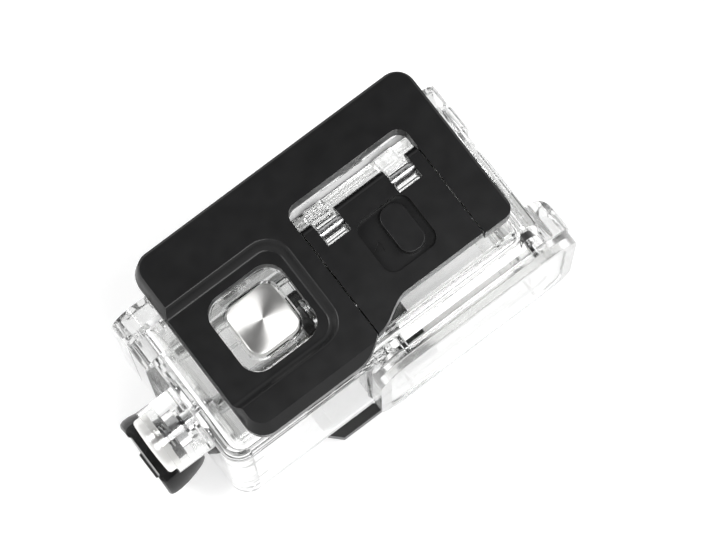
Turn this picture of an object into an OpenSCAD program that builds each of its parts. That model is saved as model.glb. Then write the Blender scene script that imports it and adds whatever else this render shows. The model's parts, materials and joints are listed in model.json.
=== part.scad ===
// Clear dive housing for a small action camera, on a quick-release buckle.
// Frame: origin on the buckle's flat underside, straight below the tilt pivot.
// +X is right as seen from the lens side, +Y is towards the back door, +Z is up.

/* [Clear body] */
// Width of the clear tub
body_w = 91; // [90:0.5:92]
// Height of the clear tub
body_h = 64.5; // [64:0.25:65]
// Distance from the tilt pivot forward to the tub's front face
body_front = 24; // [23.75:0.25:24.5]
// Thickness of the clear walls
wall = 3.5; // [3:0.25:4]
// Radius of the tub's outer edges
edge_r = 5; // [4:0.5:6]
// Width of the flange and back door
flange_w = 94.6; // [94:0.2:96]
// Thickness of the back door
door_t = 6.6; // [6:0.2:7]

/* [Lens port] */
// Width of the lens port frame
port_w = 57.6; // [56:0.4:58]
// Height of the lens port frame
port_h = 50; // [49:0.5:51]
// Thickness of the lens port frame
port_t = 3.4; // [3:0.2:4]
// Height of the lens port's centre
port_z = 55.5; // [55:0.5:56]

/* [Latch] */
// Width of the black latch frame
frame_w = 79.5; // [79:0.1:80]
// Depth of the black latch frame
frame_d = 50.8; // [50:0.2:51]
// Thickness of the latch frame and lever
frame_t = 6.5; // [6:0.25:7]
// Width of the latch lever
lever_w = 33.2; // [33:0.1:33.4]

/* [Buttons] */
// Width of the square shutter cap
cap_w = 13.9; // [13.5:0.1:14.2]
// Diameter of the round side cap
side_cap_d = 15; // [14.5:0.1:15.1]
// Travel of both buttons
press = 2; // [1:0.25:2]

/* [Mount] */
// Height of the tilt pivot above the buckle's underside
pivot_z = 13.5; // [13.5:0.25:14]
// Outer radius of the fingers
finger_r = 7.5; // [7.3:0.1:7.5]
// Thickness of each finger
finger_t = 2.9; // [2.8:0.05:2.95]
// Distance between the centres of neighbouring fingers
finger_pitch = 3.1; // [3.1:0.05:3.2]
// Radius of the hole for the thumb screw
screw_hole_r = 2.5; // [2.5:0.05:2.6]
// Width of the buckle over its rails
buckle_w = 35; // [34:0.5:36]

/* [Hidden] */

$fn = 64;
eps = 0.01;
run_gap = 0.06;          // radial gap of a running pin
slide_gap = 0.5;         // gap between the latch and the clear top

clear_c = [0.86, 0.89, 0.9, 0.45];
black_c = [0.13, 0.13, 0.14];
steel_c = [0.75, 0.75, 0.76];
seal_c = [0.82, 0.82, 0.8];

// Levels and walls of the clear body
body_z0 = pivot_z + finger_r + 0.5;
body_z1 = body_z0 + body_h;
tub_x = 0.5;             // the tub sits this far right of the pivot
bay_x = 41.5;            // half width inside
bay_z0 = body_z0 + wall;
bay_z1 = body_z1 - 4;
flange_y0 = 7.6;
flange_y1 = 14;
door_y0 = flange_y1 + 0.4;
door_y1 = door_y0 + door_t;
door_top = body_z1 - 2;
door_r = 7;
plug_gap = 0.6;
hinge_y = door_y1 - 2.5;
hinge_z = body_z0 - 3.5;
hinge_r = 2.6;
hinge_pin_r = 1;
lug_x = 24;              // centre of each door lug, either side
lug_w = 6;

// Latch levels, axes and outline
frame_z0 = body_z1 + slide_gap;
frame_z1 = frame_z0 + frame_t;
frame_x0 = -37.2;
frame_x1 = frame_x0 + frame_w;
frame_y1 = 27.4;
frame_y0 = frame_y1 - frame_d;
lever_x0 = -0.1;
lever_x1 = lever_x0 + lever_w;
lever_gap = 0.35;        // side gap between the lever and the frame
lever_z0 = frame_z0 + 0.3;
lever_front = -15.9;
lever_tip = -20;
window_y1 = 15.9;
leg_front = -16.3;
leg_r = 3;
recess_floor = frame_z1 - 2.2;
latch_y = 6.8;           // axis of the lever on the clear knuckles
latch_z = frame_z1 - 3.2;
tail_r = 3.5;
knuckle_r = 3.2;
latch_pin_r = 1.3;
knuckles = [[3.3, 8.6], [23.9, 29.2]];
notches = [[2.9, 9.5], [23.5, 30.1]];
notch_y = 3.1;
stub_y = -11.2;          // axis of the frame on the lever
stub_z = latch_z + 0.1;
stub_r = 1;
stub_l = 2.9;            // how far each stub pin reaches into the frame
lip_z = door_top + 0.5;

// Lock slider in the lever
lock_x = [9.9, 24.5];
lock_y = [-11.4, 3.4];
lock_floor = frame_z1 - 2;
lock_travel = 4;
pill_x = [15.7, 22.4];
pill_y = [-10, 2.5];
post_x = [20, 22.1];
tongue_y = [-6.2, -1.2];
tongue_z = [lever_z0 + 0.8, lever_z0 + 2.2];
tongue_x = [14, lever_x1 - 0.5];
pocket_x0 = 3;
plate_t = 0.6;

// Shutter button
shut = [-19, -0.7];
boss_w = 19.8;
boss_z = body_z1 + 2.6;
well_floor = body_z1 - 1.8;
cap_z0 = well_floor + press + 0.2;
cap_z1 = cap_z0 + 3.2;
stem_r = 1.5;
clip_t = 0.6;
coil_r = 2.9;
wire = 0.5;

// Side button
side_y = -4.4;
side_z = 57;
side_boss_r = 8.85;
side_face = -54.2;
side_floor = side_face + 3.8;
side_cap_x = side_floor - press - 0.2;
bush_r = 3.1;
bush_l = 3;

// Lens port
port_x = 22.85;
port_y1 = -(body_front + 1.1);
port_y0 = port_y1 - port_t;
port_r = 8;
window_w = port_w - 10;
window_h = port_h - 10;
glass_t = 2;

// Thumb screw
knob_x0 = -58;
knob_x1 = -44.6;
knob_r = 11.6;
flute_r = 50;
shaft_r = screw_hole_r - 0.05;
nut_x = [8.3, 12.3];

// ---------- shared shapes ----------

// Cuboid between two corners, each range given as [low, high]
module block(x, y, z) {
    translate([x[0], y[0], z[0]])
        cube([x[1] - x[0], y[1] - y[0], z[1] - z[0]]);
}

// Rectangle with round corners, centred
module round_rect(w, h, r) {
    square([w - 2 * r, h], center = true);
    square([w, h - 2 * r], center = true);
    for (sx = [-1, 1], sy = [-1, 1])
        translate([sx * (w / 2 - r), sy * (h / 2 - r)]) circle(r);
}

// Plate with round corners in the XZ plane, from y0 to y1
module upright_plate(cx, cz, w, h, r, y0, y1) {
    translate([cx, y1, cz]) rotate([90, 0, 0])
        linear_extrude(y1 - y0) round_rect(w, h, r);
}

// Rod along X
module rod_x(r, x0, x1, y, z) {
    translate([x0, y, z]) rotate([0, 90, 0]) cylinder(r = r, h = x1 - x0);
}

// Rod along Y
module rod_y(r, y0, y1, x, z) {
    translate([x, y1, z]) rotate([90, 0, 0]) cylinder(r = r, h = y1 - y0);
}

// Box whose edges are all round
module soft_box(x, y, z, r) {
    hull() for (px = [x[0] + r, x[1] - r], py = [y[0] + r, y[1] - r],
                pz = [z[0] + r, z[1] - r])
        translate([px, py, pz]) sphere(r, $fn = 32);
}

// Plate with round corners: a wide bevel on its left and front edges, a narrow one on the others
module bevel_plate(x, y, z, r, bevel_w, bevel_h, narrow) {
    rise = 1 - narrow / bevel_h;
    // Each level is its height, then how far it stands in at the left, front and other edges
    levels = [[z[0], 0, 0, 0], [z[1] - bevel_h, 0, 0, 0],
              [z[1] - narrow, rise * bevel_w[0], rise * bevel_w[1], 0],
              [z[1] - 0.01, bevel_w[0], bevel_w[1], narrow]];
    hull() for (l = levels)
        translate([(x[0] + l[1] + x[1] - l[3]) / 2, (y[0] + l[2] + y[1] - l[3]) / 2, l[0]])
            linear_extrude(0.01)
                round_rect(x[1] - l[3] - x[0] - l[1], y[1] - l[3] - y[0] - l[2],
                           r - max(l[2], l[3]) / 2, $fn = 32);
}

// Coil spring standing on z = 0, swept as one closed tube
module coil(r, w, turns, h) {
    sides = 6;
    steps = 16;
    rings = turns * steps;
    pts = [for (i = [0:rings], j = [0:sides - 1])
        let (a = 360 * i / steps, b = 360 * j / sides, q = r + w / 2 * cos(b))
            [q * cos(a), q * sin(a),
             w / 2 + (h - w) * i / rings + w / 2 * sin(b)]];
    sides_f = [for (i = [0:rings - 1], j = [0:sides - 1])
        let (k = (j + 1) % sides)
            for (t = [[0, sides, sides + k - j], [0, sides + k - j, k - j]])
                [for (v = t) i * sides + j + v]];
    caps = [[for (j = [0:sides - 1]) j],
            [for (j = [sides - 1:-1:0]) rings * sides + j]];
    polyhedron(points = pts, faces = concat(sides_f, caps), convexity = 10);
}

// Split ring that holds a stem from pulling out, flat on z = 0
module e_clip() {
    difference() {
        cylinder(r = 3.2, h = clip_t);
        translate([0, 0, -eps]) cylinder(r = stem_r, h = clip_t + 2 * eps);
        translate([-0.9, 0, -eps]) cube([1.8, 4, clip_t + 2 * eps]);
    }
}

// One flat finger of the folding mount, with its web up or down to z_end
module finger(cx, z_end) {
    rod_x(finger_r, cx - finger_t / 2, cx + finger_t / 2, 0, pivot_z);
    block([cx - finger_t / 2, cx + finger_t / 2], [-finger_r, finger_r],
          [min(z_end, pivot_z), max(z_end, pivot_z)]);
}

// ---------- quick-release buckle ----------

module buckle_plan(half_w, y0, y1, nose) {
    polygon([[-half_w, y1], [-half_w, y0 + nose], [-half_w + nose, y0],
             [half_w - nose, y0], [half_w, y0 + nose], [half_w, y1]]);
}

module buckle_body() {
    rail_t = 2.2;
    plate_top = 4.5;
    rear = 17;
    nose_y = -24;
    color(black_c) difference() {
        union() {
            linear_extrude(rail_t) buckle_plan(buckle_w / 2, nose_y, rear, 3);
            linear_extrude(plate_top) buckle_plan(buckle_w / 2, nose_y, nose_y + 7, 3);
            block([-14.5, 14.5], [nose_y + 1, rear - 1], [0, plate_top]);
            for (k = [-1:1]) finger(k * 2 * finger_pitch, plate_top - 1);
            rod_x(finger_r, nut_x[0] - 1, nut_x[1], 0, pivot_z);
        }
        rod_x(screw_hole_r, -20, 20, 0, pivot_z);
        // Hexagonal pocket that stops the nut turning
        translate([nut_x[0], 0, pivot_z]) rotate([0, 90, 0]) cylinder(r = 4.65, h = 6, $fn = 6);
        // Slots that free the two spring arms, and the notch between their ends
        for (s = [-1, 1]) {
            block([s * 10 - 0.8, s * 10 + 0.8], [-4, rear + 1], [-1, plate_top + 1]);
            block([s * 13.5 - 2.2, s * 13.5 + 2.2], [rear - 5, rear - 2.5], [2.2, plate_top + 1]);
        }
        block([-9.2, 9.2], [rear - 4, rear + 1], [-1, plate_top + 1]);
    }
}

module mount_nut() {
    color(steel_c) difference() {
        translate([nut_x[0] + eps, 0, pivot_z]) rotate([0, 90, 0])
            cylinder(r = 4.6, h = nut_x[1] - nut_x[0] - 0.4, $fn = 6);
        rod_x(screw_hole_r, 0, 20, 0, pivot_z);
    }
}

module thumb_knob() {
    color(black_c) difference() {
        translate([knob_x0, 0, pivot_z]) rotate([0, 90, 0]) rotate_extrude()
            polygon([[0, 0.6], [knob_r - 2, 0.6], [knob_r - 1.6, 0], [knob_r - 1.2, 0],
                     [knob_r - 0.4, 0.4], [knob_r, 1.4], [knob_r, 3], [knob_r - 0.5, 5.8],
                     [knob_r - 1.5, 8.6], [knob_r - 2.5, 10.9], [knob_r - 3.6, 12.4],
                     [4.8, knob_x1 - knob_x0], [0, knob_x1 - knob_x0]]);
        // Three wide finger flutes
        for (a = [0:120:240])
            translate([knob_x0, 0, pivot_z]) rotate([a, 0, 0])
                translate([-1, 0, flute_r + knob_r - 4.2])
                    rotate([0, 90, 0]) cylinder(r = flute_r, h = 20, $fn = 180);
        rod_x(shaft_r, knob_x1 - 8, knob_x1 + 1, 0, pivot_z);
    }
}

module thumb_shaft() {
    color(steel_c) {
        rod_x(shaft_r, knob_x1 - 8, 13.2, 0, pivot_z);
        rod_x(3.6, knob_x1, knob_x1 + 1, 0, pivot_z);
    }
}

// ---------- clear front shell ----------

module tub_outer() {
    hull() {
        for (sx = [-1, 1], pz = [body_z0 + edge_r, body_z1 - edge_r])
            translate([tub_x + sx * (body_w / 2 - edge_r), 0, pz]) {
                translate([0, edge_r - body_front, 0]) sphere(edge_r, $fn = 32);
                translate([0, flange_y0 + 1, 0]) rotate([90, 0, 0])
                    cylinder(r = edge_r, h = 1, $fn = 32);
            }
    }
}

// Plan of the raised block behind the lens port: flared left, round shoulder right
module port_plan() {
    r = 4;
    x0 = port_x - port_w / 2;
    x1 = port_x + port_w / 2;
    rear = -15.5;
    polygon([[x0, port_y1], [-2.5, rear - 4], [-2.5, rear], [x1 - r, rear],
             [x1, rear - r], [x1, port_y1]]);
    translate([x1 - r, rear - r]) circle(r);
}

module port_block() {
    intersection() {
        translate([0, 0, body_z0]) linear_extrude(body_h) port_plan();
        upright_plate(port_x, port_z, port_w + 1, port_h + 4, port_r, port_y1 - 1, 0);
    }
}

module latch_knuckle(x) {
    rod_x(knuckle_r, x[0], x[1], latch_y, latch_z);
    block(x, [latch_y - knuckle_r, latch_y + knuckle_r], [body_z1 - 1, latch_z]);
    // Buttress that runs back over the flange
    translate([x[0], 0, 0]) rotate([90, 0, 90]) linear_extrude(x[1] - x[0])
        polygon([[latch_y, body_z1 - 1], [flange_y1, body_z1 - 1], [flange_y1, body_z1 + 1.2],
                 [latch_y + 3.4, latch_z + 0.6], [latch_y, latch_z + 0.6]]);
}

module door_lug(cx) {
    x = [cx - lug_w / 2, cx + lug_w / 2];
    rod_x(hinge_r, x[0], x[1], hinge_y, hinge_z);
    block(x, [flange_y0 + 1, hinge_y], [hinge_z - hinge_r, hinge_z + hinge_r - 0.4]);
    block(x, [flange_y0 + 1, flange_y1], [hinge_z - hinge_r, body_z0 + 4]);
}

module front_shell() {
    color(clear_c) {
        difference() {
            union() {
                tub_outer();
                port_block();
                upright_plate(0, (body_z0 + body_z1) / 2, flange_w, body_h, door_r,
                              flange_y0, flange_y1);
                translate([shut[0], shut[1], body_z1 - 1]) linear_extrude(boss_z - body_z1 + 1)
                    round_rect(boss_w, boss_w, 4.5);
                rod_x(side_boss_r, side_face, tub_x - body_w / 2 + 2, side_y, side_z);
                for (k = knuckles) latch_knuckle(k);
                for (s = [-1, 1]) finger(s * finger_pitch, body_z0 + 1);
                for (s = [-1, 1]) door_lug(s * lug_x);
                // Foot pad that the fingers grow from
                block([-7, 7], [-11, 11], [body_z0 - 0.001, body_z0 + 2]);
            }
            soft_box([-bay_x, bay_x], [wall - body_front, flange_y1 + 8],
                     [bay_z0, bay_z1], 2.5);
            // Way forward to the port glass
            upright_plate(port_x, port_z, window_w - 2, window_h - 2, 5, -40, -10);
            // Groove for the port gasket
            difference() {
                upright_plate(port_x, port_z, window_w + 3, window_h + 3, 6, port_y1 - 1,
                              port_y1 + 0.8);
                upright_plate(port_x, port_z, window_w, window_h, 5, port_y1 - 2, port_y1 + 2);
            }
            for (p = port_screw_places()) {
                rod_y(0.8, -40, -10, p[0], p[1]);
                rod_y(1.8, wall - body_front, wall - body_front + 1.4, p[0], p[1]);
            }
            // Well, bore and gland of the shutter button
            translate([shut[0], shut[1], well_floor]) linear_extrude(10)
                round_rect(cap_w + 1.4, cap_w + 1.4, 4);
            // Two nicks that show how far in the cap may go
            for (s = [-1, 1])
                block([shut[0] + s * boss_w / 2 - 0.8, shut[0] + s * boss_w / 2 + 0.8],
                      [shut[1] + 3.7, shut[1] + 4.3], [boss_z - 0.8, boss_z + 1]);
            translate([shut[0], shut[1], bay_z1 - 1]) cylinder(r = stem_r + run_gap, h = 10);
            translate([shut[0], shut[1], well_floor - 1]) cylinder(r = 2.6, h = 2);
            // Well, bore and gland of the side button
            rod_x(side_cap_d / 2 + 0.25, side_face - 1, side_floor, side_y, side_z);
            rod_x(stem_r + run_gap, side_face, -bay_x + 1, side_y, side_z);
            rod_x(bush_r, side_floor - 1, side_floor + bush_l, side_y, side_z);
            rod_x(2.6, side_floor, side_floor + bush_l + 1, side_y, side_z);
            rod_x(latch_pin_r, -5, 40, latch_y, latch_z);
            rod_x(screw_hole_r, -10, 10, 0, pivot_z);
            rod_x(hinge_pin_r, -40, 40, hinge_y, hinge_z);
        }
        // Ribs that locate the camera sideways
        for (s = [-1, 1], z = [42, 68])
            block(s > 0 ? [36.6, bay_x + 1] : [-bay_x - 1, -36.6], [wall - body_front - 1, 10],
                  [z - 0.8, z + 0.8]);
    }
}

// ---------- lens port ----------

function port_screw_places() =
    [for (sx = [-1, 1], sz = [-1, 1]) [port_x + sx * 18.7, port_z + sz * 22.5]];

module port_frame() {
    color(clear_c) difference() {
        upright_plate(port_x, port_z, port_w, port_h, port_r, port_y0, port_y1);
        upright_plate(port_x, port_z, window_w, window_h, 5, port_y0 - 1, port_y1 + 1);
        upright_plate(port_x, port_z, window_w + 4, window_h + 4, 6, port_y0 - 1,
                      port_y0 + 0.4 + glass_t);
        for (p = port_screw_places()) rod_y(0.7, port_y1 - 0.9, port_y1 + 1, p[0], p[1]);
    }
}

module port_glass() {
    color([0.8, 0.9, 0.95, 0.4])
        upright_plate(port_x, port_z, window_w + 3.8, window_h + 3.8, 5.9, port_y0 + 0.4,
                      port_y0 + 0.4 + glass_t);
}

module port_seal() {
    color(seal_c) difference() {
        upright_plate(port_x, port_z, window_w + 2.8, window_h + 2.8, 5.9, port_y1,
                      port_y1 + 0.8);
        upright_plate(port_x, port_z, window_w + 0.2, window_h + 0.2, 5.1, port_y1 - 1,
                      port_y1 + 2);
    }
}

module port_screws() {
    color(steel_c) for (p = port_screw_places()) {
        rod_y(0.7, port_y1 - 0.9, wall - body_front + 0.1, p[0], p[1]);
        rod_y(1.6, wall - body_front, wall - body_front + 1.2, p[0], p[1]);
    }
}

// ---------- pins, seals and springs held by the shell ----------

module latch_pin() {
    color(steel_c) rod_x(latch_pin_r, lever_x0 + 0.4, lever_x1 - 0.4, latch_y, latch_z);
}

module door_hinge_pins() {
    color(steel_c) for (s = [-1, 1])
        rod_x(hinge_pin_r, s * lug_x - 8.8, s * lug_x + 8.8, hinge_y, hinge_z);
}

module ring_seal() {
    rotate_extrude() translate([stem_r + run_gap + 0.45, 0.5]) circle(0.45, $fn = 24);
}

module shutter_oring() {
    color(seal_c) translate([shut[0], shut[1], well_floor - 1]) ring_seal();
}

module side_oring() {
    color(seal_c) translate([side_floor + bush_l, side_y, side_z]) rotate([0, 90, 0])
        ring_seal();
}

module side_gland_bush() {
    color(steel_c) difference() {
        rod_x(bush_r, side_floor, side_floor + bush_l, side_y, side_z);
        rod_x(stem_r + run_gap, side_floor - 1, side_floor + bush_l + 1, side_y, side_z);
    }
}

module shutter_spring() {
    color(steel_c) translate([shut[0], shut[1], well_floor + 0.05])
        coil(coil_r, wire, 3, cap_z0 + 2 - well_floor - 0.1);
}

module side_spring() {
    color(steel_c) translate([side_floor - 0.05, side_y, side_z]) rotate([0, -90, 0])
        coil(coil_r, wire, 4, side_floor - side_cap_x + 2.2 - 0.1);
}

// ---------- back door ----------

module door_knuckle(cx) {
    x = [cx - 2.8, cx + 2.8];
    rod_x(hinge_r, x[0], x[1], hinge_y, hinge_z);
    block(x, [hinge_y - hinge_r, door_y1], [hinge_z, body_z0 + 4]);
}

module back_door() {
    door_h = door_top - body_z0 - 0.5;
    cz = body_z0 + 0.5 + door_h / 2;
    bay_w = 2 * bay_x;
    bay_h = bay_z1 - bay_z0;
    color(clear_c) difference() {
        union() {
            upright_plate(0, cz, flange_w, door_h, door_r, door_y0, door_y1);
            // Plug that stands inside the mouth of the shell
            upright_plate(0, (bay_z0 + bay_z1) / 2, bay_w - 2 * plug_gap, bay_h - 2 * plug_gap,
                          2.6, door_y0 - 2, door_y0 + 1);
            for (s = [-1, 1], t = [-1, 1]) door_knuckle(s * lug_x + t * (lug_w / 2 + 3.1));
        }
        // Thinner viewing window over the camera's screen, cut from behind
        upright_plate(0, 52, 74, 44, 4, door_y1 - 2, door_y1 + 1);
        // Hollow behind the plug
        upright_plate(0, 53.5, 76, 50, 3, door_y0 - 3, door_y0 + 1.6);
        // Groove for the door seal
        difference() {
            upright_plate(0, (bay_z0 + bay_z1) / 2, bay_w + 5, bay_h + 4.4, 5, door_y0 - 3,
                          door_y0 + 1.4);
            upright_plate(0, (bay_z0 + bay_z1) / 2, bay_w + 0.6, bay_h + 0.6, 3, door_y0 - 4,
                          door_y0 + 3);
            upright_plate(0, cz, flange_w + 10, door_h + 10, 1, door_y0 - 9, door_y0 - 2 * eps);
        }
        rod_x(hinge_pin_r + run_gap, -40, 40, hinge_y, hinge_z);
    }
}

module door_seal() {
    bay_w = 2 * bay_x;
    bay_h = bay_z1 - bay_z0;
    color(seal_c) difference() {
        upright_plate(0, (bay_z0 + bay_z1) / 2, bay_w + 4.8, bay_h + 4.2, 4.9,
                      flange_y1 + 0.06, door_y0 + 1.4);
        upright_plate(0, (bay_z0 + bay_z1) / 2, bay_w + 0.8, bay_h + 0.8, 3.1,
                      flange_y1 - 1, door_y0 + 3);
    }
}

// ---------- latch lever ----------

// Plan of the lever: straight at the back, an S-curve down to a tip in front
function s_curve(x) = lever_tip + (lever_front - lever_tip) * (1 - cos(180 * x)) / 2;

module lever_plan() {
    sweep_w = 11;
    steps = 16;
    polygon(concat([[lever_x0, latch_y + tail_r]],
                   [for (i = [0:steps]) [lever_x0 + sweep_w * i / steps, s_curve(i / steps)]],
                   [[lever_x1, lever_front], [lever_x1, latch_y + tail_r]]));
}

module latch_lever() {
    color(black_c) difference() {
        intersection() {
            translate([0, 0, lever_z0]) linear_extrude(frame_z1 - lever_z0) lever_plan();
            union() {
                rod_x(tail_r, -1, 40, latch_y, latch_z);
                block([-1, 40], [-30, latch_y], [0, 200]);
            }
        }
        for (n = notches) block(n, [notch_y, 20], [0, 200]);
        // Recess, slot and pocket of the lock
        translate([(lock_x[0] + lock_x[1]) / 2, (lock_y[0] + lock_y[1]) / 2, lock_floor])
            linear_extrude(10) round_rect(lock_x[1] - lock_x[0], lock_y[1] - lock_y[0], 3);
        block([post_x[0] - lock_travel - 0.3, post_x[1] + 0.3],
              [tongue_y[0] - 0.3, tongue_y[1] + 0.3], [0, 200]);
        block([pocket_x0, lever_x1 + 1], [tongue_y[0] - 0.3, tongue_y[1] + 0.3],
              [lever_z0 - 1, tongue_z[1] + 0.3]);
        block([pocket_x0 - 1, lever_x1 - 0.5], [tongue_y[0] - 1.5, tongue_y[1] + 1.5],
              [lever_z0 - 1, lever_z0 + plate_t]);
        rod_x(latch_pin_r + run_gap, -5, 40, latch_y, latch_z);
        rod_x(stub_r, -5, 4, stub_y, stub_z);
        rod_x(stub_r, lever_x1 - 4.1, 40, stub_y, stub_z);
        // Sunk arrow that shows which way the lock slides
        translate([12.1, -4, lock_floor - 0.3]) linear_extrude(1)
            polygon([[-1.3, 0], [0.9, 1.4], [0.9, -1.4]]);
    }
}

module lever_stub_pins() {
    color(steel_c) {
        rod_x(stub_r, lever_x0 - stub_l, 4, stub_y, stub_z);
        rod_x(stub_r, lever_x1 - 4.1, lever_x1 + stub_l, stub_y, stub_z);
    }
}

module lock_base_plate() {
    color(black_c)
        block([pocket_x0 - 1, lever_x1 - 0.5], [tongue_y[0] - 1.5, tongue_y[1] + 1.5],
              [lever_z0, lever_z0 + plate_t]);
}

module lock_spring() {
    color(steel_c) translate([pocket_x0 + 0.05, (tongue_y[0] + tongue_y[1]) / 2,
                              (tongue_z[0] + tongue_z[1]) / 2])
        rotate([0, 90, 0]) coil(0.5, 0.36, 5, tongue_x[0] - pocket_x0 - 0.1);
}

// ---------- lock ----------

module lock_slider() {
    color(black_c) {
        translate([(pill_x[0] + pill_x[1]) / 2, (pill_y[0] + pill_y[1]) / 2, lock_floor + 0.15])
            linear_extrude(2.1) round_rect(pill_x[1] - pill_x[0], pill_y[1] - pill_y[0], 3);
        block(post_x, tongue_y, [tongue_z[1], lock_floor + 0.2]);
        block([post_x[0] + 0.4, post_x[1] - 0.4], [tongue_y[0] + 1, tongue_y[1] - 1],
              [tongue_z[0], tongue_z[1] + 0.1]);
    }
}

module lock_tongue() {
    color(steel_c) difference() {
        block(tongue_x, tongue_y, tongue_z);
        block([post_x[0] + 0.4, post_x[1] - 0.4], [tongue_y[0] + 1, tongue_y[1] - 1],
              [tongue_z[0] - 1, tongue_z[1] + 1]);
    }
}

// ---------- latch frame ----------

module frame_plan() {
    corner_r = 5;
    sweep_w = 8;
    steps = 12;
    x_cut = lever_x0 - lever_gap;
    // Left part, with the front edge sweeping back to meet the lever's tip
    difference() {
        translate([(frame_x0 + frame_x1) / 2, (frame_y0 + frame_y1) / 2])
            round_rect(frame_w, frame_d, corner_r);
        polygon(concat([[x_cut, frame_y0 - 5], [x_cut - sweep_w, frame_y0 - 5]],
                       [for (i = [0:steps]) [x_cut - sweep_w * (1 - i / steps),
                            frame_y0 + (lever_tip - frame_y0) * pow(i / steps, 2)]]));
        translate([x_cut, frame_y0 - 5]) square([60, leg_front - frame_y0 + 5]);
        difference() {
            translate([frame_x1 - leg_r, leg_front - 1]) square([leg_r + 1, leg_r + 1]);
            translate([frame_x1 - leg_r, leg_front + leg_r]) circle(leg_r);
        }
        translate([x_cut, frame_y0]) square([lever_w + 2 * lever_gap, window_y1 - frame_y0 - 4]);
        translate([(lever_x0 + lever_x1) / 2, window_y1 - 8])
            round_rect(lever_w + 2 * lever_gap, 16, 3);
    }
}

// Rectangle with its two right-hand corners round
module shutter_recess_plan(w, d, r) {
    square([w - r, d]);
    translate([0, r]) square([w, d - 2 * r]);
    for (y = [r, d - r]) translate([w - r, y]) circle(r, $fn = 32);
}

// Stretch of the shutter recess through some of its wall's levels
module recess_stretch(levels) {
    hull() for (l = levels)
        translate([frame_x0 - 10, shut[1] - 11.8 - l[0], recess_floor + l[1]])
            linear_extrude(0.01) shutter_recess_plan(40 + l[0], 24.2 + 2 * l[0], 4 + l[0]);
}

module latch_frame() {
    color(black_c) difference() {
        union() {
            intersection() {
                translate([0, 0, frame_z0]) linear_extrude(frame_t) frame_plan();
                bevel_plate([frame_x0, frame_x1], [frame_y0, frame_y1], [frame_z0, frame_z1],
                            5, [1.7, 2.3], 3, 0.6);
            }
            // Lip that comes down behind the flange and over the door
            intersection() {
                block([frame_x0 + 1, frame_x1 - 1], [18.5, frame_y1 - 0.6], [lip_z, frame_z0 + 1]);
                translate([0, 0, lip_z]) linear_extrude(10) frame_plan();
            }
        }
        // Shallow recess round the shutter button, open to the left
        recess_stretch([[0, 0], [0.6, 0.2], [1.3, 0.75], [1.9, 1.5]]);
        recess_stretch([[1.9, 1.5], [2.3, 1.95]]);
        recess_stretch([[2.3, 1.95], [2.9, 2.25]]);
        translate([shut[0], shut[1], 0]) linear_extrude(200)
            round_rect(boss_w + 1, boss_w + 1, 5);
        rod_x(stub_r + run_gap, lever_x0 - stub_l - 0.3, lever_x1 + stub_l + 0.3, stub_y, stub_z);
        // Catch for the lock tongue
        block([lever_x1, lever_x1 + 2], [tongue_y[0] - 0.4, tongue_y[1] + 0.4],
              [tongue_z[0] - 0.4, tongue_z[1] + 0.4]);
    }
}

// ---------- shutter button ----------

module shutter_cap() {
    color(steel_c) translate([shut[0], shut[1], 0]) difference() {
        translate([0, 0, cap_z0]) linear_extrude(cap_z1 - cap_z0) round_rect(cap_w, cap_w, 3.4);
        translate([0, 0, cap_z0 - eps]) cylinder(r = coil_r + 0.5, h = 2);
        translate([0, 0, cap_z0]) cylinder(r = stem_r, h = 2.6);
    }
}

module shutter_stem() {
    color(steel_c) translate([shut[0], shut[1], bay_z1 - 1.6])
        cylinder(r = stem_r, h = cap_z0 + 2.6 - bay_z1 + 1.6);
}

module shutter_clip() {
    color(steel_c) translate([shut[0], shut[1], bay_z1 - 0.1 - clip_t]) e_clip();
}

// ---------- side button ----------

module side_cap() {
    r = side_cap_d / 2;
    color(steel_c) translate([0, side_y, side_z]) difference() {
        translate([side_cap_x, 0, 0]) rotate([0, -90, 0]) rotate_extrude()
            polygon([[0, 0], [r, 0], [r, 1.9], [r - 0.5, 2.4], [r * 0.8, 3],
                     [r * 0.45, 3.5], [0, 3.7]]);
        translate([side_cap_x + eps, 0, 0]) rotate([0, -90, 0])
            cylinder(r = coil_r + 0.5, h = 2.2);
        translate([side_cap_x, 0, 0]) rotate([0, -90, 0]) cylinder(r = stem_r, h = 2.9);
    }
}

module side_stem() {
    color(steel_c) rod_x(stem_r, side_cap_x - 2.9, -38, side_y, side_z);
}

module side_clip() {
    color(steel_c) translate([0.1 - bay_x, side_y, side_z]) rotate([0, 90, 0])
        e_clip();
}

buckle_body();
mount_nut();
thumb_knob();
thumb_shaft();
front_shell();
port_frame();
port_glass();
port_seal();
port_screws();
latch_pin();
door_hinge_pins();
shutter_oring();
side_oring();
side_gland_bush();
shutter_spring();
side_spring();
back_door();
door_seal();
latch_lever();
lever_stub_pins();
lock_base_plate();
lock_spring();
latch_frame();
lock_slider();
lock_tongue();
shutter_cap();
shutter_stem();
shutter_clip();
side_cap();
side_stem();
side_clip();
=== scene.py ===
import json
import math
import bpy
from mathutils import Matrix, Vector

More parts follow.
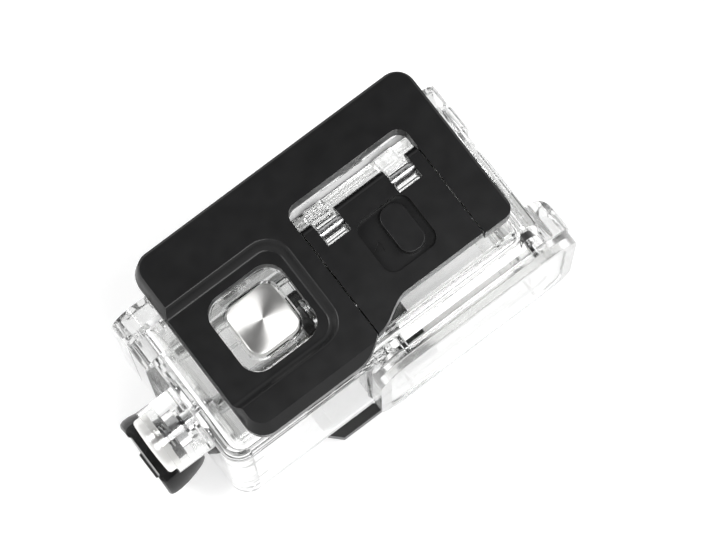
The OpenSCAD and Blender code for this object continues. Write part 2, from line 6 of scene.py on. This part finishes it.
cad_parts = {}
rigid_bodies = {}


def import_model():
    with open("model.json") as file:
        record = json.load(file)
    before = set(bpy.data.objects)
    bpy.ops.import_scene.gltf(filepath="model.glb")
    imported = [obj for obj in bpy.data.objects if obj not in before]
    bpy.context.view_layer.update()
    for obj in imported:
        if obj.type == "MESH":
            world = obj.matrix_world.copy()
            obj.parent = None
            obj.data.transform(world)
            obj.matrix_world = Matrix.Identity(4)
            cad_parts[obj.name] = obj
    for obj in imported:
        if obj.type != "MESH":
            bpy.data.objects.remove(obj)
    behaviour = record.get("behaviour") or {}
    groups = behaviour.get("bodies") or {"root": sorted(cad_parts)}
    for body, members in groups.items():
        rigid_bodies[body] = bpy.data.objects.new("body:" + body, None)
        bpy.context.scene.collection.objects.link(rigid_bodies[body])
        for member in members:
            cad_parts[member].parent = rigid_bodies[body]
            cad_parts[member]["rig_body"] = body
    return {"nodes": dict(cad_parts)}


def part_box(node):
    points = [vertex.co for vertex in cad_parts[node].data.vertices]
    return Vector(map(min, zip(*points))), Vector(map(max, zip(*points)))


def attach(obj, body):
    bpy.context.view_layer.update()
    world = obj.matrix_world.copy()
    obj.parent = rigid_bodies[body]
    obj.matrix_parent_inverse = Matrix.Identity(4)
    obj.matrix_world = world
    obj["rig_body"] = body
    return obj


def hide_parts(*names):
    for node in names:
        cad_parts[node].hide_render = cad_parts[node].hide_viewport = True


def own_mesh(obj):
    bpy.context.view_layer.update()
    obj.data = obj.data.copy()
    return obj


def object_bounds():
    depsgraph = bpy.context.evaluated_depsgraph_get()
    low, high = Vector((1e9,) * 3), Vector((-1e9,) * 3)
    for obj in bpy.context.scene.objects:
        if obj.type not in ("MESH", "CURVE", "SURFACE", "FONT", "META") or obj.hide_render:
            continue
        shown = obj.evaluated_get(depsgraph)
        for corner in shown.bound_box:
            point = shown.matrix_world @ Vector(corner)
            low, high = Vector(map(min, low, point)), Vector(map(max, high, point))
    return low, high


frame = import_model()
cad_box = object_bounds()
bpy.ops.object.select_all(action="DESELECT")

# ---------------------------------------------------------------- clear front shell
# One injection-moulded polycarbonate tub that the camera drops into. Its walls
# are polished in the mould, and the flange, the mount's fingers, the button
# wells and the latch knuckles are part of the same shot.

MM = 0.001


def socket(node, name, value):
    """Sets one socket of a shader node."""
    node.inputs[name].default_value = value


def start_material(name):
    """A new material: its node tree, its Principled shader and Object coordinates."""
    material = bpy.data.materials.new(name)
    material.use_nodes = True
    tree = material.node_tree
    place = tree.nodes.new("ShaderNodeTexCoord").outputs["Object"]
    return material, tree, tree.nodes["Principled BSDF"], place


def noise(tree, place, size_mm, detail=2.0):
    """Noise whose blobs are about size_mm across."""
    texture = tree.nodes.new("ShaderNodeTexNoise")
    tree.links.new(place, texture.inputs["Vector"])
    socket(texture, "Scale", 1 / (size_mm * MM))
    socket(texture, "Detail", detail)
    return texture.outputs["Fac"]


def spread(tree, pattern, low, high):
    """Maps a noise pattern onto the values from low to high."""
    ramp = tree.nodes.new("ShaderNodeMapRange")
    tree.links.new(pattern, ramp.inputs["Value"])
    socket(ramp, "From Min", 0.3)
    socket(ramp, "From Max", 0.7)
    socket(ramp, "To Min", low)
    socket(ramp, "To Max", high)
    return ramp.outputs["Result"]


def relief(tree, shader, pattern, depth_mm, strength):
    """Lays a pattern on the surface as a fine relief, depth_mm deep."""
    bump = tree.nodes.new("ShaderNodeBump")
    tree.links.new(pattern, bump.inputs["Height"])
    socket(bump, "Distance", depth_mm * MM)
    socket(bump, "Strength", strength)
    tree.links.new(bump.outputs["Normal"], shader.inputs["Normal"])


def clear_plastic(name, tint, rough_low, rough_high, flow_mm, flow_depth_mm):
    """Clear moulded plastic: faint flow waves and a slight haze that varies."""
    material, tree, shader, place = start_material(name)
    socket(shader, "Base Color", (*tint, 1))
    socket(shader, "Transmission Weight", 1.0)
    socket(shader, "IOR", 1.49)
    haze = spread(tree, noise(tree, place, 7), rough_low, rough_high)
    tree.links.new(haze, shader.inputs["Roughness"])
    relief(tree, shader, noise(tree, place, flow_mm, 1.0), flow_depth_mm, 0.4)
    return material


def copy_of(node):
    """A free copy of a CAD node's mesh, its corners merged and its flats made whole."""
    bpy.ops.object.select_all(action="DESELECT")
    source = frame["nodes"][node]
    source.select_set(True)
    bpy.context.view_layer.objects.active = source
    bpy.ops.object.duplicate()
    piece = bpy.context.view_layer.objects.active
    piece.name = node + "_made"
    piece.parent = None
    for key in list(piece.keys()):
        del piece[key]
    bpy.ops.mesh.customdata_custom_splitnormals_clear()
    bpy.ops.object.mode_set(mode="EDIT")
    bpy.ops.mesh.select_all(action="SELECT")
    bpy.ops.mesh.remove_doubles(threshold=0.003 * MM)
    bpy.ops.mesh.dissolve_limited(angle_limit=math.radians(0.4))
    bpy.ops.object.mode_set(mode="OBJECT")
    return piece


def break_edges(piece, width_mm, segments=2, angle=32):
    """Rounds every edge sharper than angle, as a polished mould does."""
    soft = piece.modifiers.new("broken_edges", "BEVEL")
    soft.width = width_mm * MM
    soft.segments = segments
    soft.limit_method = "ANGLE"
    soft.angle_limit = math.radians(angle)
    bpy.context.view_layer.objects.active = piece
    bpy.ops.object.modifier_apply(modifier=soft.name)


def stand_clear(piece, gap_mm=0.015):
    """Draws the surface in by a hair, so that it never lies in a neighbour's face."""
    bpy.context.view_layer.objects.active = piece
    bpy.ops.object.mode_set(mode="EDIT")
    bpy.ops.mesh.select_all(action="SELECT")
    bpy.ops.transform.shrink_fatten(value=-gap_mm * MM)
    bpy.ops.object.mode_set(mode="OBJECT")


def finish_piece(piece, node, material, angle=32):
    """Smooths a piece, gives it its material and its body, and hides the node it stands for.
    """
    bpy.ops.object.select_all(action="DESELECT")
    piece.select_set(True)
    bpy.context.view_layer.objects.active = piece
    bpy.ops.object.shade_smooth_by_angle(angle=math.radians(angle))
    even = piece.modifiers.new("even_flats", "WEIGHTED_NORMAL")
    even.keep_sharp = True
    even.weight = 100
    bpy.ops.object.modifier_apply(modifier=even.name)
    piece.select_set(False)
    piece.data.materials.clear()
    piece.data.materials.append(material)
    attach(piece, frame["nodes"][node]["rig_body"])
    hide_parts(node)


clear = clear_plastic("clear_polycarbonate", (0.938, 0.94, 0.936), 0.0, 0.04, 8, 0.02)
shell = copy_of("front_shell")
break_edges(shell, 0.25)
stand_clear(shell)
finish_piece(shell, "front_shell", clear)

# ---------------------------------------------------------------- back door
# The clear door that the camera's screen shows through. It is moulded like the
# shell, with its rim rounded over, and hangs on two pins at its foot.

door = copy_of("back_door")
door_right, door_back, door_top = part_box("back_door")[1]
corner_reach = 7.2 * MM
foot_level = 29.5 * MM


def on_door_rim(a, b):
    """True for an edge of the door's outer outline, on its back face."""
    if min(a.y, b.y) < door_back - 0.02 * MM:
        return False
    return all(abs(p.x) > door_right - corner_reach or p.z > door_top - corner_reach
               or p.z < foot_level for p in (a, b))


def round_off(piece, picked, width_mm, segments):
    """Bevels the edges for which picked(a, b), given their two ends, is true."""
    bpy.ops.object.select_all(action="DESELECT")
    bpy.context.view_layer.objects.active = piece
    bpy.ops.object.mode_set(mode="EDIT")
    bpy.ops.mesh.select_all(action="DESELECT")
    bpy.ops.object.mode_set(mode="OBJECT")
    ends = piece.data.vertices
    for edge in piece.data.edges:
        edge.select = picked(ends[edge.vertices[0]].co, ends[edge.vertices[1]].co)
    bpy.ops.object.mode_set(mode="EDIT")
    bpy.ops.mesh.select_mode(type="EDGE")
    bpy.ops.mesh.bevel(offset=width_mm * MM, segments=segments, affect="EDGES")
    bpy.ops.mesh.select_mode(type="VERT")
    bpy.ops.object.mode_set(mode="OBJECT")


round_off(door, on_door_rim, 2.2, 5)
break_edges(door, 0.25)
stand_clear(door)
finish_piece(door, "back_door", clear)

# ---------------------------------------------------------------- lens port
# A square frame of slightly milky plastic, screwed on from inside, that holds
# a flat pane of coated glass over the lens.

milky = clear_plastic("milky_port_plastic", (0.9, 0.9, 0.895), 0.1, 0.2, 5, 0.03)
port = copy_of("port_frame")
break_edges(port, 0.7, segments=4)
stand_clear(port)
finish_piece(port, "port_frame", milky)

pane_glass = clear_plastic("port_pane_glass", (0.985, 0.99, 0.985), 0.0, 0.015, 12, 0.005)
pane = copy_of("port_glass")
break_edges(pane, 0.25)
stand_clear(pane, 0.03)
finish_piece(pane, "port_glass", pane_glass)


# ---------------------------------------------------------------- black latch
# The frame, the lever and the lock are moulded in black glass-filled nylon,
# with a fine satin grain from the spark-eroded mould.

def black_plastic(name, tone, rough_low, rough_high, gloss, grain_mm, depth_mm):
    """Black moulded plastic with soft colour drift and a fine grain."""
    material, tree, shader, place = start_material(name)
    mix = tree.nodes.new("ShaderNodeMix")
    mix.data_type = "RGBA"
    tree.links.new(noise(tree, place, 18, 3.0), mix.inputs["Factor"])
    mix.inputs["A"].default_value = (tone * 0.8, tone * 0.8, tone * 0.82, 1)
    mix.inputs["B"].default_value = (tone * 1.2, tone * 1.2, tone * 1.26, 1)
    tree.links.new(mix.outputs["Result"], shader.inputs["Base Color"])
    rough = spread(tree, noise(tree, place, 4, 4.0), rough_low, rough_high)
    tree.links.new(rough, shader.inputs["Roughness"])
    socket(shader, "Specular IOR Level", gloss)
    relief(tree, shader, noise(tree, place, grain_mm), depth_mm, 0.35)
    return material


def dress(node, material):
    """Gives a CAD node its only material."""
    frame["nodes"][node].data.materials.clear()
    frame["nodes"][node].data.materials.append(material)


satin = black_plastic("satin_black_nylon", 0.006, 0.28, 0.34, 0.28, 0.2, 0.02)
latch = copy_of("latch_frame")
break_edges(latch, 0.45, segments=3)
finish_piece(latch, "latch_frame", satin)
lever = copy_of("latch_lever")
break_edges(lever, 0.35, segments=3)
finish_piece(lever, "latch_lever", satin)
slider = copy_of("lock_slider")
break_edges(slider, 0.4, segments=4)
finish_piece(slider, "lock_slider", satin)
dress("lock_base_plate", satin)

# ---------------------------------------------------------------- thumb knob and buckle
# The knob is moulded on the screw's head and the buckle carries the prongs that
# the screw clamps. Both are in a glossier black nylon than the latch.

knob_black = black_plastic("knob_black_nylon", 0.006, 0.2, 0.3, 0.4, 0.6, 0.01)
knob = copy_of("thumb_knob")
break_edges(knob, 0.8, segments=4, angle=25)
finish_piece(knob, "thumb_knob", knob_black)
buckle_black = black_plastic("buckle_black_nylon", 0.008, 0.3, 0.42, 0.45, 0.25, 0.02)
buckle = copy_of("buckle_body")
break_edges(buckle, 0.3)
finish_piece(buckle, "buckle_body", buckle_black)


# ---------------------------------------------------------------- shutter cap
# A square cap turned and spun from steel bar: its corners are round, its top
# has a soft edge and a very slight crown, and the lathe left fine rings.

def spun_steel(name, axis):
    """Steel with the circular lay of a lathe about the piece's own middle."""
    material, tree, shader, place = start_material(name)
    socket(shader, "Base Color", (0.78, 0.775, 0.76, 1))
    socket(shader, "Metallic", 1.0)
    socket(shader, "Anisotropic", 0.9)
    socket(shader, "Anisotropic Rotation", 0.25)
    rough = spread(tree, noise(tree, place, 2, 4.0), 0.34, 0.38)
    tree.links.new(rough, shader.inputs["Roughness"])
    lay = tree.nodes.new("ShaderNodeTangent")
    lay.direction_type = "RADIAL"
    lay.axis = axis
    tree.links.new(lay.outputs["Tangent"], shader.inputs["Tangent"])
    return material


def edit(piece):
    """Opens a piece for editing its edges, with nothing selected."""
    bpy.ops.object.select_all(action="DESELECT")
    bpy.context.view_layer.objects.active = piece
    bpy.ops.object.mode_set(mode="EDIT")
    bpy.ops.mesh.select_all(action="DESELECT")
    bpy.ops.mesh.select_mode(type="EDGE")


def pick_faces(piece, test):
    """Selects the faces for which test(centre, normal) is true."""
    bpy.ops.object.mode_set(mode="OBJECT")
    for face in piece.data.polygons:
        face.select = test(face.center, face.normal)
    bpy.ops.object.mode_set(mode="EDIT")


def pick_edges(piece, test):
    """Selects the edges for which test(end, end) is true."""
    bpy.ops.object.mode_set(mode="OBJECT")
    ends = piece.data.vertices
    for face in piece.data.polygons:
        face.select = False
    for edge in piece.data.edges:
        edge.select = test(ends[edge.vertices[0]].co, ends[edge.vertices[1]].co)
    bpy.ops.object.mode_set(mode="EDIT")


cap_corner = 3.4 * MM
cap_top_edge = 0.55 * MM
cap_wall = 2.6 * MM
cap_hollow = 1.9 * MM
cap_low, cap_high = (Vector(corner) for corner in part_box("shutter_cap"))
cap_middle = (cap_low + cap_high) / 2
bpy.ops.mesh.primitive_cube_add(size=1, location=cap_middle, scale=cap_high - cap_low)
cap = bpy.context.active_object
cap.name = "shutter_cap_made"
bpy.ops.object.transform_apply(location=True, rotation=True, scale=True)
edit(cap)
pick_edges(cap, lambda a, b: abs(a.z - b.z) > MM)
bpy.ops.mesh.bevel(offset=cap_corner, segments=10, affect="EDGES")
pick_edges(cap, lambda a, b: min(a.z, b.z) > cap_high.z - 0.01 * MM)
bpy.ops.mesh.bevel(offset=cap_top_edge, segments=5, affect="EDGES")
bpy.ops.mesh.select_mode(type="FACE")
pick_faces(cap, lambda centre, normal: normal.z > 0.999 and centre.z > cap_high.z - 0.01 * MM)
for step_in, sink in ((0.6, 0.02), (0.9, 0.03)):
    bpy.ops.mesh.inset(thickness=step_in * MM, depth=sink * MM)
pick_faces(cap, lambda centre, normal: normal.z < -0.999)
bpy.ops.mesh.inset(thickness=cap_wall)
bpy.ops.mesh.extrude_region_move(TRANSFORM_OT_translate={"value": (0, 0, cap_hollow)})
bpy.ops.object.mode_set(mode="OBJECT")
finish_piece(cap, "shutter_cap", spun_steel("spun_steel_square", "Z"), 40)

# ---------------------------------------------------------------- side cap
# A round cap, turned from the same steel bar, with a low dome for the fingertip.
# It is hollow behind and pressed onto its stem.

side_edge = 0.9 * MM
side_wall = 3.8 * MM
side_hollow = 2.1 * MM
side_low, side_high = (Vector(corner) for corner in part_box("side_cap"))
side_middle = (side_low + side_high) / 2
side_radius = (side_high.y - side_low.y) / 2
bpy.ops.mesh.primitive_cylinder_add(vertices=72, radius=side_radius,
                                    depth=side_high.x - side_low.x,
                                    location=side_middle, rotation=(0, math.pi / 2, 0))
side = bpy.context.active_object
side.name = "side_cap_made"
bpy.ops.object.transform_apply(location=True, rotation=True, scale=True)
edit(side)
pick_edges(side, lambda a, b: max(a.x, b.x) < side_low.x + 0.01 * MM)
bpy.ops.mesh.bevel(offset=side_edge, segments=5, affect="EDGES")
bpy.ops.mesh.select_mode(type="FACE")
pick_faces(side, lambda centre, normal: normal.x < -0.999)
for step_in, sink in ((1.2, 0.08), (1.6, 0.09), (1.6, 0.06)):
    bpy.ops.mesh.inset(thickness=step_in * MM, depth=sink * MM)
pick_faces(side, lambda centre, normal: normal.x > 0.999)
bpy.ops.mesh.inset(thickness=side_wall)
bpy.ops.mesh.extrude_region_move(TRANSFORM_OT_translate={"value": (-side_hollow, 0, 0)})
bpy.ops.object.mode_set(mode="OBJECT")
finish_piece(side, "side_cap", spun_steel("spun_steel_round", "X"), 40)


# ---------------------------------------------------------------- pins, screws and springs
# Small turned stainless parts that show through the clear walls. The springs
# are coiled from drawn wire.

def turned_steel(name, tone, rough_low, rough_high):
    """Plain stainless steel with fine tool marks."""
    material, tree, shader, place = start_material(name)
    socket(shader, "Base Color", (tone, tone, tone * 1.01, 1))
    socket(shader, "Metallic", 1.0)
    rough = spread(tree, noise(tree, place, 1.2, 4.0), rough_low, rough_high)
    tree.links.new(rough, shader.inputs["Roughness"])
    relief(tree, shader, noise(tree, place, 0.3), 0.01, 0.3)
    return material


steel = turned_steel("turned_stainless", 0.55, 0.22, 0.38)
blackened = turned_steel("blackened_screws", 0.06, 0.3, 0.45)
dress("port_screws", blackened)
for name in ("mount_nut", "thumb_shaft", "latch_pin", "door_hinge_pins",
             "side_gland_bush", "lever_stub_pins", "lock_tongue", "shutter_stem",
             "side_stem", "shutter_clip", "side_clip"):
    dress(name, steel)

for name, joint, along, seat, share in (
        ("shutter_spring", "shutter_press", (0, 0, 1), (-0.019, -0.0007, 0.0842), 0.5),
        ("side_spring", "side_press", (1, 0, 0), (-0.0504, -0.0044, 0.057), 0.48),
        ("lock_spring", "lock_slide", (1, 0, 0), (0.003, 0, 0.09), 0.6)):
    spring = copy_of(name)
    finish_piece(spring, name, steel)
    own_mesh(spring)


# ---------------------------------------------------------------- seals
# Soft rings: pale silicone round the door and the port, and black rubber on
# the two stems. Each is pressed into its groove.

def silicone(name, tone):
    """Matt silicone with a slight dusty drift."""
    material, tree, shader, place = start_material(name)
    socket(shader, "Base Color", (tone, tone, tone, 1))
    dust = spread(tree, noise(tree, place, 2), 0.42, 0.56)
    tree.links.new(dust, shader.inputs["Roughness"])
    relief(tree, shader, noise(tree, place, 0.5), 0.01, 0.3)
    return material


pale_silicone = silicone("pale_silicone", 0.85)
black_rubber = silicone("black_rubber", 0.02)
for name, rubber in (("port_seal", pale_silicone), ("door_seal", pale_silicone),
                     ("shutter_oring", black_rubber), ("side_oring", black_rubber)):
    dress(name, rubber)

# ---------------------------------------------------------------- studio
# A light table: a pale floor lit from below, a bright tent all round, a long
# dark card overhead that keeps the black parts black, and three softboxes.

floor_z = cad_box[0][2]
bpy.ops.mesh.primitive_plane_add(size=8, location=(0, 0, floor_z))
floor = bpy.context.active_object
floor.name = "light_table"
bpy.ops.object.transform_apply(location=True)
table, tree, shader, place = start_material("light_table_white")
socket(shader, "Base Color", (0.8, 0.8, 0.8, 1))
socket(shader, "Roughness", 0.9)
socket(shader, "Specular IOR Level", 0.1)
socket(shader, "Emission Color", (1, 1, 1, 1))
socket(shader, "Emission Strength", 0.36)
floor.data.materials.append(table)


def softbox(name, place, aim, width, height, power):
    """A soft area light at place, facing aim."""
    light = bpy.data.lights.new(name, "AREA")
    light.shape = "RECTANGLE"
    light.size = width
    light.size_y = height
    light.energy = power
    lamp = bpy.data.objects.new(name, light)
    bpy.context.scene.collection.objects.link(lamp)
    lamp.location = place
    lamp.rotation_euler = (Vector(aim) - Vector(place)).to_track_quat("-Z", "Y").to_euler()


softbox("front_softbox", (0.03, -0.12, 0.46), (0, -0.02, 0.09), 0.26, 0.12, 0.92)
softbox("left_softbox", (-0.32, 0.24, 0.6), (-0.02, 0, 0.09), 0.2, 0.2, 1.5)
softbox("right_softbox", (0.38, -0.14, 0.6), (-0.02, 0, 0.09), 0.16, 0.16, 0.8)

tent = bpy.data.worlds.new("bright_tent")
bpy.context.scene.world = tent
tent.use_nodes = True
sky = tent.node_tree
direction = sky.nodes.new("ShaderNodeTexCoord")
long_card = sky.nodes.new("ShaderNodeMapping")
long_card.vector_type = "TEXTURE"
sky.links.new(direction.outputs["Generated"], long_card.inputs["Vector"])
socket(long_card, "Rotation", (math.radians(-13), 0, math.radians(-47)))
socket(long_card, "Scale", (0.55, 1.4, 1))
flat_card = sky.nodes.new("ShaderNodeVectorMath")
flat_card.operation = "NORMALIZE"
sky.links.new(long_card.outputs["Vector"], flat_card.inputs[0])
card = sky.nodes.new("ShaderNodeVectorMath")
card.operation = "DOT_PRODUCT"
sky.links.new(flat_card.outputs["Vector"], card.inputs[0])
card.inputs[1].default_value = (0, 0, 1)
fade = sky.nodes.new("ShaderNodeMapRange")
fade.interpolation_type = "SMOOTHSTEP"
sky.links.new(card.outputs["Value"], fade.inputs["Value"])
socket(fade, "From Min", 0.55)
socket(fade, "From Max", 0.88)
socket(fade, "To Min", 1.0)
socket(fade, "To Max", 0.06)
sky.links.new(fade.outputs["Result"], sky.nodes["Background"].inputs["Strength"])
socket(sky.nodes["Background"], "Color", (1, 1, 1, 1))

# ---------------------------------------------------------------- camera
# It looks almost straight down at the latch, leaning 8.5 degrees to the front
# and 5.6 degrees to the left, and is turned by 37 degrees.

view = bpy.data.cameras.new("camera")
view.lens = 204.9
view.clip_start = 0.05
camera = bpy.data.objects.new("camera", view)
bpy.context.scene.collection.objects.link(camera)
to_right = Vector((0.79632, -0.60477, -0.01151))
to_top = Vector((0.59696, 0.78269, 0.17615))
to_back = Vector((-0.09752, -0.14714, 0.9843))
turn = Matrix((to_right, to_top, to_back)).transposed().to_4x4()
camera.matrix_world = Matrix.Translation((-0.08687, -0.14125, 0.99729)) @ turn
scene = bpy.context.scene
scene.camera = camera
scene.view_settings.view_transform = "Standard"
scene.cycles.max_bounces = 28
scene.cycles.transmission_bounces = 28
scene.cycles.glossy_bounces = 12
